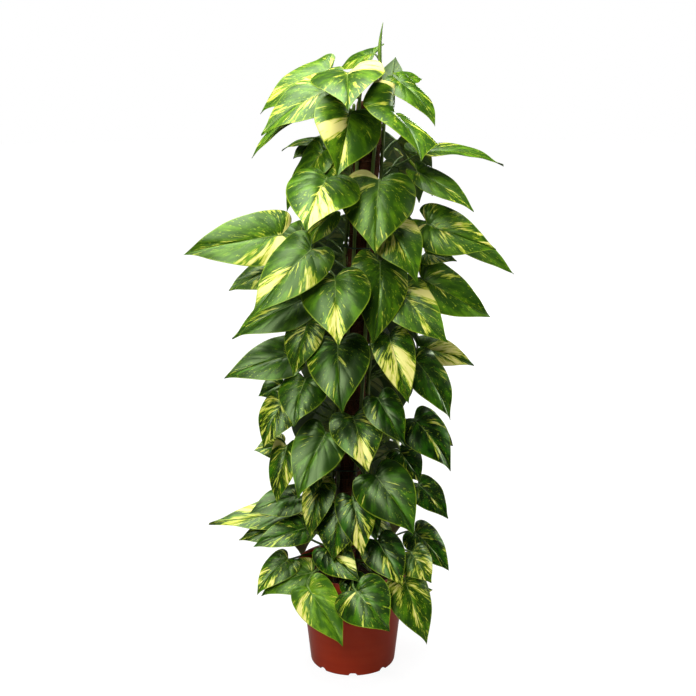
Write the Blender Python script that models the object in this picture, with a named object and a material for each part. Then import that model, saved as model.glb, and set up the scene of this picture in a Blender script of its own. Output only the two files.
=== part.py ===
"""A golden pothos trained up a coir pole in a round plastic nursery pot.

Metres, +Z up. The origin is on the pot's axis, on the surface that the pot stands on, and -Y is the front.
"""

import math
import random

import bmesh
import bpy
from mathutils import Matrix, Vector

CM = 0.01
GAP = 0.0003  # clearance between pieces that touch

# Pot: a thin turned shell with a flat foot, a rolled lip and drain holes round the foot's edge.
POT_HEIGHT = 0.218
FOOT_RADIUS = 0.090
NECK_RADIUS = 0.112  # outside, just under the lip
LIP_RADIUS = 0.120
LIP_HEIGHT = 0.017
POT_WALL = 0.0025
POT_FLOOR = 0.003
POT_SEGMENTS = 48
DRAIN_HOLES = 8
DRAIN_WIDTH = 0.018
DRAIN_HEIGHT = 0.007
DRAIN_DEPTH = 0.010

# Soil: fills the pot to below the lip, lower at the wall than at the pole.
SOIL_EDGE = 0.180
SOIL_CROWN = 0.188

# Pole: a wooden stake in a coir sleeve. It stands on the pot's floor and leans a little to the right.
POLE_FOOT = Vector((-0.034, 0.0, POT_FLOOR + GAP + 0.0006))  # the lean lowers one side of its foot
POLE_TOP = Vector((0.033, 0.0, 1.195))
CORE_RADIUS = 0.011
CORE_BEVEL = 0.002
CORE_SHOWS = 0.012  # bare stake above the coir
COIR_RADIUS = 0.027
COIR_FOOT = 0.075  # height at which the coir sleeve starts, inside the soil

# Vines: six stems that climb the outside of the coir. Each row is a name, the direction from the pole in
# degrees from +X, and the height of its tip.
VINE_RADIUS = 0.0045
VINE_TIP_RADIUS = 0.0036
VINE_WANDER = 7.0  # degrees to either side, on the way up
VINE_STEP = 0.06
VINES = (
    ("vine_front_left", -125, 1.205),
    ("vine_front_right", -60, 1.240),
    ("vine_right", 5, 1.165),
    ("vine_back_right", 60, 1.185),
    ("vine_back_left", 120, 1.150),
    ("vine_left", 180, 1.180),
)

# Ties: wire loops drawn round the pole and all the vines.
TIE_HEIGHTS = (0.435, 0.900)
TIE_RADIUS = 0.0012
TIE_SIDES = 6

# Blade: half of its outline, from the notch at the stalk round the lobe to the tip. x is in blade widths
# and y in blade lengths.
MARGIN = (
    (0.0, 0.0),
    (0.075, -0.060),
    (0.21, -0.125),
    (0.36, -0.105),
    (0.465, 0.005),
    (0.50, 0.16),
    (0.475, 0.34),
    (0.380, 0.53),
    (0.228, 0.72),
    (0.080, 0.88),
    (0.0, 1.0),
)
LOBE_START = 0.15  # the lobes start to rise here, in lengths from the notch
LOBE_RISE = 0.05
BLADE_THICKNESS = 0.0012
BLADE_ROWS = (0.0, 0.13, 0.30, 0.45, 0.60, 0.74, 0.88, 1.0)
BLADE_COLUMNS = 2
STALK_RADIUS = 0.0019
STALK_STEPS = 6
STALK_SIDES = 6
STALK_RISE = 0.5  # how far a stalk climbs for each unit that it reaches out
LOWEST_NODE = 0.238  # the lowest stalks leave their vine here, to pass over the pot's lip

# Leaves of the front and the sides, from the crown down. Each row is a name, the base and the tip of the
# blade as (x, y, height) in centimetres, the blade's width in centimetres, and the way that its upper
# face looks: degrees round from the front towards +X, and degrees up.
LEAVES = (
    ("leaf_crown_1", (-1, -6, 124), (-0.5, -19, 118), 14, -5, 60),
    ("leaf_crown_2", (-4.5, 4, 124.5), (-18.5, 3, 116), 10, -15, 55),
    ("leaf_crown_3", (-5, -4, 121), (-17.5, -8, 112.5), 11, -15, 50),
    ("leaf_crown_4", (-0.5, -10, 117), (-3, -18, 106), 13.5, 28, 40),
    ("leaf_crown_5", (7.5, -9, 116.6), (11.8, -22, 109.3), 16.5, 65, 55),
    ("leaf_crown_6", (8.8, 0.5, 122.3), (16, -4, 114), 9, 50, 30),
    ("leaf_crown_7", (12.5, -1, 108.5), (30, 3, 105.5), 8, 0, 75),
    ("leaf_crown_8", (12.5, -2.5, 105), (23.5, -6, 97.8), 9, 30, 60),
    ("leaf_upper_1", (-6, -3, 109), (-13.3, -2, 97), 8.5, -50, 20),
    ("leaf_upper_2", (-5, -11, 104.8), (-9, -21, 96.2), 14, -5, 45),
    ("leaf_upper_3", (5, -9, 104.2), (4, -16, 91.2), 14.5, 0, 30),
    ("leaf_upper_4", (6.5, -8, 96), (12.5, -14, 85.5), 11, 20, 25),
    ("leaf_upper_5", (14.5, -4, 95), (28, -5, 90), 10, 0, 30),
    ("leaf_upper_6", (15, 6, 94), (32.5, 2, 83.5), 9, 30, 40),
    ("leaf_upper_7", (-14, -5, 93), (-33.2, -7, 90), 11.5, -5, 30),
    ("leaf_upper_8", (-8, -11.5, 91.3), (-18.8, -17, 79), 11.5, -15, 30),
    ("leaf_middle_1", (-10, -5, 80), (-24, -7, 72.5), 10, -20, 40),
    ("leaf_middle_2", (-3.5, -12, 86), (-3, -21, 74.7), 13.5, -3, 35),
    ("leaf_middle_3", (5.2, -7.5, 88), (3.5, -13, 73), 11.5, 15, 25),
    ("leaf_middle_4", (9, -7, 82.5), (18, -13, 73), 11, 20, 30),
    ("leaf_middle_5", (13.5, -3, 84), (27.5, -3, 75.5), 11, 15, 35),
    ("leaf_middle_6", (7, -9, 73.5), (10.5, -15, 61.5), 8.5, 15, 20),
    ("leaf_middle_7", (12.5, -4, 67.5), (19.5, -8, 56), 10, 35, 25),
    ("leaf_middle_8", (-12, -4, 68.5), (-26, -5, 64), 9.5, -10, 40),
    ("leaf_middle_9", (-3, -10, 72.5), (-2.5, -18, 60.5), 12.5, -5, 30),
    ("leaf_lower_1", (-9.5, -8, 64.5), (-12, -14, 56.5), 10, -15, 25),
    ("leaf_lower_2", (-14, -4, 59), (-18, -8, 50), 9, -25, 30),
    ("leaf_lower_3", (-5.5, -9, 53.5), (-11.5, -16, 42.5), 10.5, -8, 30),
    ("leaf_lower_4", (0, -9, 57), (2.5, -17, 48), 10.5, 5, 30),
    ("leaf_lower_5", (12.5, -3, 54.5), (20, -6, 44.5), 10, 30, 25),
    ("leaf_lower_6", (4.5, -10, 45), (12.5, -16, 35), 12, 5, 30),
    ("leaf_lower_7", (-12, 1, 33), (-30.5, 0, 30.5), 8, -10, 55),
    ("leaf_lower_8", (0, -10, 40), (1.5, -15, 29.5), 8, 0, 25),
    ("leaf_lower_9", (5, -9, 30.5), (10, -15, 23), 9, 10, 30),
    ("leaf_skirt_1", (13, -2, 29.5), (20, -4, 21.5), 8, 30, 25),
    ("leaf_skirt_2", (-9, -14.5, 22.6), (-1.5, -19, 12.3), 9, 0, 30),
    ("leaf_skirt_3", (10.5, -11, 23), (15.5, -14, 10), 9.5, 20, 30),
)

# How far the left and the right half of some leaves fold up from the midrib; the others draw it.
FOLDS = {"leaf_crown_1": (0.30, 0.46), "leaf_crown_4": (0.48, 0.36), "leaf_crown_5": (0.40, 0.34)}

# How far the left and the right lobe of some leaves rise behind the notch, in lengths.
LOBES = {"leaf_crown_1": (0.03, 0.08), "leaf_crown_4": (0.10, 0.04), "leaf_crown_5": (0.30, 0.02)}

# Leaves of the back: tiers of shingled blades, two to a tier.
BACK_TIERS = 5
BACK_FIRST_HEIGHT = 0.34
BACK_TIER_STEP = 0.19
BACK_DIRECTIONS = (62, 118)  # degrees from +X
BACK_REACH = 0.105  # from the pole to the blade's base
BACK_TIP_REACH = 0.185
BACK_DROP = 0.135
BACK_WIDTH = 0.125

# The youngest leaf, still rolled.
SPIKE_REACH = Vector((0.003, -0.004, 0.092))  # from its foot to its tip
SPIKE_BOW = 0.004
SPIKE_RADII = (0.0028, 0.0031, 0.0037, 0.0040, 0.0038, 0.0032, 0.0024, 0.0014, 0.0005)

GREEN = (0.035, 0.14, 0.018)
YOUNG_GREEN = (0.16, 0.34, 0.03)
STEM_GREEN = (0.10, 0.16, 0.03)
TERRACOTTA_BROWN = (0.17, 0.020, 0.008)
COIR_BROWN = (0.035, 0.014, 0.006)
SOIL_BROWN = (0.020, 0.011, 0.006)
WIRE_GREEN = (0.02, 0.05, 0.02)
STAKE_WOOD = (0.22, 0.13, 0.06)


def clear_scene():
    for obj in list(bpy.data.objects):
        bpy.data.objects.remove(obj, do_unlink=True)


def material(name, colour, roughness):
    """One Principled material for each finish."""
    made = bpy.data.materials.get(name) or bpy.data.materials.new(name)
    made.use_nodes = True
    shader = made.node_tree.nodes["Principled BSDF"]
    shader.inputs["Base Color"].default_value = (*colour, 1.0)
    shader.inputs["Roughness"].default_value = roughness
    shader.inputs["Metallic"].default_value = 0.0
    return made


def add_object(name, mesh_data, finish, smooth_angle=40):
    """Turns a bmesh into a closed, outward-facing object with one material."""
    bmesh.ops.recalc_face_normals(mesh_data, faces=mesh_data.faces)
    mesh = bpy.data.meshes.new(name)
    mesh_data.to_mesh(mesh)
    mesh_data.free()
    mesh.materials.append(finish)
    mesh.shade_smooth()
    mesh.set_sharp_from_angle(angle=math.radians(smooth_angle))
    obj = bpy.data.objects.new(name, mesh)
    bpy.context.scene.collection.objects.link(obj)
    return obj


def turned(profile, segments):
    """The solid that a closed (radius, height) outline sweeps round Z."""
    solid = bmesh.new()
    points = [solid.verts.new((radius, 0.0, height)) for radius, height in profile]
    edges = [solid.edges.new((a, b)) for a, b in zip(points, points[1:] + points[:1])]
    bmesh.ops.spin(
        solid,
        geom=points + edges,
        axis=(0, 0, 1),
        cent=(0, 0, 0),
        angle=math.tau,
        steps=segments,
        use_merge=True,
    )
    bmesh.ops.remove_doubles(solid, verts=solid.verts, dist=1e-6)
    bmesh.ops.dissolve_degenerate(solid, edges=solid.edges, dist=1e-6)
    return solid


def add_cutter(name, mesh_data):
    cutter = add_object(name, mesh_data, material("cutter", (1, 0, 0), 1.0))
    cutter.hide_render = True
    cutter.display_type = "WIRE"
    return cutter


def cut(obj, cutter):
    modifier = obj.modifiers.new(cutter.name, "BOOLEAN")
    modifier.operation = "DIFFERENCE"
    modifier.object = cutter


def sweep(solid, path, radii, sides, side_vector, first_ring=None):
    """Adds a tube round the path, and returns its first and last rings. The frame is carried along the
    path without twist, from side_vector."""
    rings = [first_ring] if first_ring else []
    side = side_vector
    for i, (point, radius) in enumerate(zip(path, radii)):
        ahead = (path[min(i + 1, len(path) - 1)] - path[max(i - 1, 0)]).normalized()
        side = (side - ahead * side.dot(ahead)).normalized()
        up = ahead.cross(side)
        ring = []
        for k in range(sides):
            angle = math.pi / 2 - math.tau * k / sides
            ring.append(solid.verts.new(point + radius * (math.cos(angle) * side + math.sin(angle) * up)))
        rings.append(ring)
    for lower, upper in zip(rings, rings[1:]):
        for k in range(sides):
            following = (k + 1) % sides
            solid.faces.new((lower[k], lower[following], upper[following], upper[k]))
    return rings[0], rings[-1]


def add_pot():
    outer = [
        (0.0, 0.0),
        (FOOT_RADIUS - 0.003, 0.0),
        (FOOT_RADIUS, 0.003),
        (NECK_RADIUS, POT_HEIGHT - LIP_HEIGHT),
        (LIP_RADIUS - 0.002, POT_HEIGHT - LIP_HEIGHT),
        (LIP_RADIUS, POT_HEIGHT - LIP_HEIGHT + 0.002),
        (LIP_RADIUS, POT_HEIGHT - 0.003),
        (LIP_RADIUS - 0.003, POT_HEIGHT),
    ]
    inner = [
        (NECK_RADIUS - POT_WALL + 0.002, POT_HEIGHT),
        (NECK_RADIUS - POT_WALL, POT_HEIGHT - 0.002),
        (NECK_RADIUS - POT_WALL, POT_HEIGHT - LIP_HEIGHT),
        (inside_radius(POT_FLOOR), POT_FLOOR),
        (0.0, POT_FLOOR),
    ]
    finish = material("pot_plastic", TERRACOTTA_BROWN, 0.38)
    pot = add_object("nursery_pot", turned(outer + inner, POT_SEGMENTS), finish)
    drains = bmesh.new()
    for i in range(DRAIN_HOLES):
        turn = Matrix.Rotation(math.tau * i / DRAIN_HOLES - math.pi / 2, 4, "Z")
        barrel = Matrix.Rotation(math.pi / 2, 4, "Y")
        # A flat-ended arch: a half-buried barrel, lying along the radius.
        bmesh.ops.create_cone(
            drains,
            cap_ends=True,
            segments=12,
            radius1=1.0,
            radius2=1.0,
            depth=2.0,
            matrix=turn
            @ Matrix.Translation((FOOT_RADIUS, 0, 0))
            @ Matrix.Diagonal((DRAIN_DEPTH, DRAIN_WIDTH / 2, DRAIN_HEIGHT, 1))
            @ barrel,
        )
    cut(pot, add_cutter("drain_cutter", drains))
    return pot


def inside_radius(height):
    """The pot's inner radius at a height."""
    foot, neck = FOOT_RADIUS - POT_WALL, NECK_RADIUS - POT_WALL
    return foot + (neck - foot) * height / (POT_HEIGHT - LIP_HEIGHT)


def pole_matrix():
    """Takes the pole's own frame, with Z along it from its foot, to where it stands."""
    along = (POLE_TOP - POLE_FOOT).normalized()
    return Matrix.Translation(POLE_FOOT) @ Vector((0, 0, 1)).rotation_difference(along).to_matrix().to_4x4()


def pole_axis(height):
    """The point of the pole's axis at a height."""
    share = (height - POLE_FOOT.z) / (POLE_TOP.z - POLE_FOOT.z)
    return POLE_FOOT.lerp(POLE_TOP, share)


def add_soil():
    foot = POT_FLOOR + GAP
    profile = [
        (0.0, foot),
        (inside_radius(foot) - GAP, foot),
        (inside_radius(SOIL_EDGE) - GAP, SOIL_EDGE),
        (inside_radius(SOIL_EDGE) * 0.62, SOIL_EDGE + 0.6 * (SOIL_CROWN - SOIL_EDGE)),
        (0.0, SOIL_CROWN),
    ]
    soil = add_object("potting_soil", turned(profile, POT_SEGMENTS), material("soil", SOIL_BROWN, 0.95))
    length = (POLE_TOP - POLE_FOOT).length
    socket = [
        (0.0, -0.02),
        (CORE_RADIUS + GAP, -0.02),
        (CORE_RADIUS + GAP, COIR_FOOT - GAP),
        (COIR_RADIUS + GAP, COIR_FOOT - GAP),
        (COIR_RADIUS + GAP, length),
        (0.0, length),
    ]
    cutter = turned(socket, 24)
    bmesh.ops.transform(cutter, matrix=pole_matrix(), verts=cutter.verts)
    cut(soil, add_cutter("pole_socket_cutter", cutter))
    return soil


def add_pole():
    length = (POLE_TOP - POLE_FOOT).length
    core = [
        (0.0, 0.0),
        (CORE_RADIUS, 0.0),
        (CORE_RADIUS, length - CORE_BEVEL),
        (CORE_RADIUS - CORE_BEVEL, length),
        (0.0, length),
    ]
    sleeve_end = length - CORE_SHOWS
    sleeve = [
        (CORE_RADIUS + GAP, COIR_FOOT),
        (COIR_RADIUS, COIR_FOOT),
        (COIR_RADIUS, sleeve_end - 0.004),
        (COIR_RADIUS - 0.004, sleeve_end),
        (CORE_RADIUS + GAP, sleeve_end),
    ]
    for name, profile, finish in (
        ("pole_stake", core, material("stake_wood", STAKE_WOOD, 0.7)),
        ("coir_sleeve", sleeve, material("coir", COIR_BROWN, 0.95)),
    ):
        add_object(name, turned(profile, 24), finish).matrix_world = pole_matrix()


def vine_radius(height):
    return VINE_RADIUS + (VINE_TIP_RADIUS - VINE_RADIUS) * min(1.0, height / POLE_TOP.z)


def vine_point(index, height):
    """The centre of a vine at a height: it wanders a little round the pole as it climbs."""
    direction = math.radians(VINES[index][1] + VINE_WANDER * math.sin(height * 9.0 + 2.1 * index))
    reach = COIR_RADIUS + GAP + vine_radius(height)
    return pole_axis(height) + reach * Vector((math.cos(direction), math.sin(direction), 0.0))


def soil_height(point):
    """The height of the soil's surface under a point, near the pole."""
    share = Vector((point.x, point.y)).length / inside_radius(SOIL_EDGE)
    return SOIL_CROWN - (SOIL_CROWN - SOIL_EDGE) * 0.4 / 0.62 * share


def add_vines():
    finish = material("stem", STEM_GREEN, 0.5)
    for index, (name, _, tip_height) in enumerate(VINES):
        foot_height = soil_height(vine_point(index, SOIL_CROWN)) + 0.001
        steps = round((tip_height - foot_height) / VINE_STEP)
        heights = [foot_height + (tip_height - foot_height) * i / steps for i in range(steps + 1)]
        solid = bmesh.new()
        path = [vine_point(index, height) for height in heights]
        first, last = sweep(solid, path, [vine_radius(h) for h in heights], 8, Vector((0, 1, 0)))
        solid.faces.new(first)
        solid.faces.new(last)
        add_object(name, solid, finish)


def add_ties():
    finish = material("tie_wire", WIRE_GREEN, 0.5)
    up = Vector((0, 0, 1))
    for number, height in enumerate(TIE_HEIGHTS, 1):
        reach = vine_radius(height) + GAP + TIE_RADIUS
        path = []
        for index in sorted(range(len(VINES)), key=lambda i: VINES[i][1]):
            centre = vine_point(index, height)
            outward = (centre - pole_axis(height)).normalized()
            for turn in (-25, 0, 25):
                path.append(centre + reach * (Matrix.Rotation(math.radians(turn), 3, "Z") @ outward))
        solid = bmesh.new()
        rings = []
        for i, point in enumerate(path):
            ahead = (path[(i + 1) % len(path)] - path[i - 1]).normalized()
            side = ahead.cross(up)
            angles = [math.tau * k / TIE_SIDES for k in range(TIE_SIDES)]
            offsets = [TIE_RADIUS * (math.cos(a) * side + math.sin(a) * up) for a in angles]
            rings.append([solid.verts.new(point + offset) for offset in offsets])
        for i, ring in enumerate(rings):
            before = rings[i - 1]
            for k in range(TIE_SIDES):
                following = (k + 1) % TIE_SIDES
                solid.faces.new((before[k], before[following], ring[following], ring[k]))
        add_object(f"tie_{number}", solid, finish)


def margin(s):
    """A point of the half outline, for s from 0 at the notch to 1 at the tip, on a smooth curve through MARGIN."""
    position = s * (len(MARGIN) - 1)
    i = min(int(position), len(MARGIN) - 2)
    t = position - i
    before = MARGIN[max(i - 1, 0)]
    start, end = MARGIN[i], MARGIN[i + 1]
    after = MARGIN[min(i + 2, len(MARGIN) - 1)]
    return [
        0.5
        * (
            2 * b
            + (c - a) * t
            + (2 * a - 5 * b + 4 * c - d) * t * t
            + (3 * b - a - 3 * c + d) * t * t * t
        )
        for a, b, c, d in zip(before, start, end, after)
    ]


class Leaf:
    """One leaf: where its blade lies, and how the blade is curved."""

    def __init__(self, name, base, tip, width, round_angle, up_angle):
        self.name = name
        self.base, self.tip = Vector(base), Vector(tip)
        self.length = (self.tip - self.base).length
        self.width = width / self.length
        draw = random.Random(name)
        fold = draw.uniform(0.16, 0.30)
        self.fold_left, self.fold_right = FOLDS.get(name, (fold, fold))  # slope of each half at the midrib
        self.lobe_left, self.lobe_right = LOBES.get(name, (LOBE_RISE, LOBE_RISE))
        self.arch = draw.uniform(0.75, 1.15)  # how much each half turns down again
        self.curl = draw.uniform(0.05, 0.10)  # rise of the midrib between base and tip
        self.bow = draw.uniform(-0.03, 0.03)  # sideways bow of the midrib
        self.twist = draw.uniform(-0.25, 0.25)
        round_angle, up_angle = math.radians(round_angle), math.radians(up_angle)
        look = Vector((math.sin(round_angle), -math.cos(round_angle), 0.0)) * math.cos(up_angle)
        look.z = math.sin(up_angle)
        self.along = (self.tip - self.base).normalized()
        self.normal = (look - self.along * look.dot(self.along)).normalized()
        self.across = self.along.cross(self.normal)

    def local(self, s, v, side):
        """
        A point of the blade in lengths. s picks the vein and v runs along it, from the midrib out. side is
        1 in the left half, looking at the upper face with its tip down, and -1 in the right half.
        """
        vein_foot = 0.06 * s + 0.94 * s**3.4
        edge_x, edge_y = margin(s)
        x = side * edge_x * v * self.width
        y = vein_foot + (edge_y - vein_foot) * v - 0.2 * edge_x * v * (1 - v)
        fold, lobe = (self.fold_left, self.lobe_left) if side > 0 else (self.fold_right, self.lobe_right)
        z = 4 * self.curl * y * (1 - y) + fold * abs(x) - self.arch * x * x
        z += lobe * smooth_step(LOBE_START, -0.12, y) * min(1.0, abs(x) / 0.15)
        z += self.twist * x * (y - 0.3)
        x += 4 * self.bow * y * (1 - y)
        return x, y, z

    def place(self, x, y, z):
        return self.base + self.length * (x * self.across + y * self.along + z * self.normal)

    def stalk(self):
        """The stalk's centre line, from the notch to its vine."""
        index = min(range(len(VINES)), key=lambda i: self.vine_distance(i))
        reach = self.vine_distance(index)
        height = min(self.base.z - STALK_RISE * reach, VINES[index][2] - 0.012)
        height = max(height, LOWEST_NODE)
        centre = vine_point(index, height)
        away = centre - pole_axis(height)
        toward = self.base - centre
        toward.z = 0.0
        out = (away.normalized() + toward.normalized()).normalized()
        end = centre + out * (vine_radius(height) + GAP)
        span = (self.base - end).length
        start = self.base - self.along * 0.0015
        controls = (
            start,
            start - (0.85 * self.normal + 0.5 * self.along) * span * 0.30,
            end + (0.9 * out + Vector((0, 0, 0.35))) * span * 0.40,
            end,
        )
        path = [bezier(controls, i / STALK_STEPS) for i in range(STALK_STEPS + 1)]
        # The last short stretch runs straight out of the vine, so that its end lies flat against it.
        path.insert(-1, end + out * 0.004)
        return path

    def vine_distance(self, index):
        foot = vine_point(index, self.base.z - 0.05)
        return Vector((foot.x - self.base.x, foot.y - self.base.y)).length


def smooth_step(low, high, value):
    t = min(max((value - low) / (high - low), 0.0), 1.0)
    return t * t * (3 - 2 * t)


def bezier(controls, t):
    a, b, c, d = controls
    u = 1 - t
    return a * u**3 + b * (3 * u * u * t) + c * (3 * u * t * t) + d * t**3


def leaf_solid(leaf):
    """The blade, as two skins and a rim, joined at its notch to the stalk."""
    solid = bmesh.new()
    last = len(BLADE_ROWS) - 1

    def skin(offset):
        grid = {}
        for i, s in enumerate(BLADE_ROWS):
            for side in (-1, 1):
                for j in range(BLADE_COLUMNS + 1):
                    shared = (i, 0, 0) if i in (0, last) else (i, j, side if j else 0)
                    if shared not in grid:
                        x, y, z = leaf.local(s, 0 if shared[2] == 0 else j / BLADE_COLUMNS, side)
                        grid[shared] = solid.verts.new(leaf.place(x, y, z + offset / leaf.length))
                    grid[i, j, side] = grid[shared]
        return grid

    def face(*corners):
        solid.faces.new(list(dict.fromkeys(corners)))

    top, bottom = skin(BLADE_THICKNESS / 2), skin(-BLADE_THICKNESS / 2)
    for side in (-1, 1):
        for i in range(last):
            for j in range(BLADE_COLUMNS):
                for grid in (top, bottom):
                    face(grid[i, j, side], grid[i, j + 1, side], grid[i + 1, j + 1, side], grid[i + 1, j, side])
            if i:
                edge = BLADE_COLUMNS
                face(top[i, edge, side], top[i + 1, edge, side], bottom[i + 1, edge, side], bottom[i, edge, side])
    edge = BLADE_COLUMNS
    notch = [
        top[0, 0, 1],
        top[1, edge, 1],
        bottom[1, edge, 1],
        bottom[0, 0, 1],
        bottom[1, edge, -1],
        top[1, edge, -1],
    ]
    path = leaf.stalk()
    radii = [STALK_RADIUS] * len(path)
    _, end = sweep(solid, path[1:], radii[1:], STALK_SIDES, leaf.across, first_ring=notch)
    solid.faces.new(end)
    return solid


def back_leaves():
    """The back's leaves, in tiers that alternate a little in height and direction."""
    for tier in range(BACK_TIERS):
        for number, direction in enumerate(BACK_DIRECTIONS):
            height = BACK_FIRST_HEIGHT + BACK_TIER_STEP * tier + 0.02 * number
            turn = math.radians(direction + (8 if tier % 2 else -8))
            outward = Vector((math.cos(turn), math.sin(turn), 0.0))
            base = pole_axis(height) + BACK_REACH * outward
            tip = pole_axis(height) + BACK_TIP_REACH * outward - Vector((0, 0, BACK_DROP))
            name = f"leaf_back_{tier * len(BACK_DIRECTIONS) + number + 1}"
            yield Leaf(name, base, tip, BACK_WIDTH, math.degrees(turn) + 90, 35)


def add_leaves():
    finish = material("leaf_green", GREEN, 0.35)
    front = [
        Leaf(name, Vector(base) * CM, Vector(tip) * CM, width * CM, turn, tilt)
        for name, base, tip, width, turn, tilt in LEAVES
    ]
    for leaf in front + list(back_leaves()):
        add_object(leaf.name, leaf_solid(leaf), finish, smooth_angle=60)


def add_new_leaf():
    """The youngest leaf, still rolled into a spike, on the tip of the tallest vine."""
    index = max(range(len(VINES)), key=lambda i: VINES[i][2])
    foot = vine_point(index, VINES[index][2]) + Vector((0, 0, 0.0011))
    tip = foot + SPIKE_REACH
    steps = len(SPIKE_RADII) - 1
    path = []
    for i in range(steps + 1):
        bow = SPIKE_BOW * math.sin(math.pi * i / steps)
        path.append(foot.lerp(tip, i / steps) - Vector((bow, 0, 0)))
    solid = bmesh.new()
    first, last = sweep(solid, path, SPIKE_RADII, 8, Vector((0, 1, 0)))
    solid.faces.new(first)
    solid.faces.new(last)
    add_object("new_leaf_spike", solid, material("young_leaf", YOUNG_GREEN, 0.4))


def main():
    clear_scene()
    add_pot()
    add_soil()
    add_pole()
    add_vines()
    add_ties()
    add_leaves()
    add_new_leaf()


main()
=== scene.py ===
"""The looks of a golden pothos on a coir pole: leaves, vines, pole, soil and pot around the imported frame."""

import math
import random

import bpy
from mathutils import Matrix, Vector, noise
from mathutils.bvhtree import BVHTree


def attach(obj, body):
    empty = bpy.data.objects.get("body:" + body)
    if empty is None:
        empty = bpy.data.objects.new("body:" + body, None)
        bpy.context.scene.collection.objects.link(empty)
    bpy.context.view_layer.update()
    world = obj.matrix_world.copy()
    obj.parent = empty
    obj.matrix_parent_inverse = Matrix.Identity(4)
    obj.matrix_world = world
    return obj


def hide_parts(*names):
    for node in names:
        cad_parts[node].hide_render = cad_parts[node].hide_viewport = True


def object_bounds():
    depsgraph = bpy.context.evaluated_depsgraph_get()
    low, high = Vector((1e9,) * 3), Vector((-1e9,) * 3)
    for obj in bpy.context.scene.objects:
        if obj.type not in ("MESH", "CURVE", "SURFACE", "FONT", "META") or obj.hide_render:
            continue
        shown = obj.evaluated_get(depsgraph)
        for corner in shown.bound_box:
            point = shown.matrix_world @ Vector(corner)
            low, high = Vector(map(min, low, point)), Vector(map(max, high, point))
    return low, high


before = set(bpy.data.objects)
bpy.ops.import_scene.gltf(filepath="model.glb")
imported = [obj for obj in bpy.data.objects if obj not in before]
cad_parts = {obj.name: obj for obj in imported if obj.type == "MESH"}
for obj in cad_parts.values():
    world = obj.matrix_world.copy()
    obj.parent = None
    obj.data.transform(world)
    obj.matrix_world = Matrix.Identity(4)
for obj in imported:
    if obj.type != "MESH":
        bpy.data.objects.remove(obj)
cad_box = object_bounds()

CM = 0.01
UP = Vector((0.0, 0.0, 1.0))
GAP = 0.0003
LEFT, RIGHT, BOTH = 1, -1, 0  # the halves of a blade, looking at its upper face with its tip down

# Pot, soil, pole and vines, as the solids have them.
POT_HEIGHT = 0.218
FOOT_RADIUS = 0.090
NECK_RADIUS = 0.112
LIP_RADIUS = 0.120
LIP_HEIGHT = 0.017
SHOULDER = POT_HEIGHT - LIP_HEIGHT
POT_WALL = 0.0025
POT_FLOOR = 0.003
DRAIN_HOLES = 8
DRAIN_WIDTH = 0.018
DRAIN_HEIGHT = 0.007
DRAIN_DEPTH = 0.010
SOIL_EDGE = 0.180
SOIL_CROWN = 0.188
POLE_FOOT = Vector((-0.034, 0.0, POT_FLOOR + GAP + 0.0006))
POLE_TOP = Vector((0.033, 0.0, 1.195))
COIR_RADIUS = 0.027
CORE_RADIUS = 0.011
CORE_SHOWS = 0.012
COIR_FOOT = 0.075
TIE_HEIGHTS = (0.435, 0.900)
TIE_RADIUS = 0.0012
VINE_RADIUS = 0.0045
VINE_TIP_RADIUS = 0.0036
VINE_WANDER = 7.0
VINES = (
    ("vine_front_left", -125, 1.205),
    ("vine_front_right", -60, 1.240),
    ("vine_right", 5, 1.165),
    ("vine_back_right", 60, 1.185),
    ("vine_back_left", 120, 1.150),
    ("vine_left", 180, 1.180),
)

NODE_STEP = 0.085  # between a vine's nodes
POT_SEGMENTS = 144
LIP_GUARD = 0.006  # how much of the lip's top keeps leaves away
SOIL_RINGS = 40
BARK_CHIPS = 260
COIR_FIBRES = 900
COIR_STEPS = 260
TWINE_TURNS = 34
TWINE_STEPS = 16
TWINE_FOOT = 0.19
SPIKE_REACH = Vector((0.003, -0.004, 0.092))
SPIKE_BOW = 0.004
SPIKE_RADII = (0.0028, 0.0031, 0.0037, 0.0040, 0.0038, 0.0032, 0.0024, 0.0014, 0.0005)
SPIKE_STEPS = 40
SPIKE_SIDES = 24

# The leaves that fill the back and the sides.
FILL_SEED = 7
FILL_TRIES = 1300
FILL_COUNT = 110
TRIAL_ROWS = 16
TRIAL_COLUMNS = 3
FILL_DIRECTIONS = (-20, 200)  # degrees from +X: the right, the back and the left
FILL_LOW_DIRECTIONS = (-170, 190)
FILL_DENSE_BELOW = 0.60
FILL_HEIGHTS = (0.28, 1.10)
FILL_SIDE = 0.145
FILL_LENGTHS = (0.085, 0.115)
FILL_STALKS = (0.045, 0.08)  # from the pole's axis
FILL_DROPS = (38, 80)
FILL_CREAMS = (0.05, 0.12, 0.2, 0.3, 0.4)
DEPTH_SHIFTS = (0, 1, -1, 2, -2, 3, -3, 4, -4, 5)  # tried on the smaller leaves of the front, in centimetres

# Studio.
WORLD_LIGHT = 0.015
FLOOR_GLOW = 0.01
FLOOR_WHITE = 0.90  # near the plant; far from it the floor is as white as the backdrop
FLOOR_FADE = (1.5, 5.5)

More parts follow.
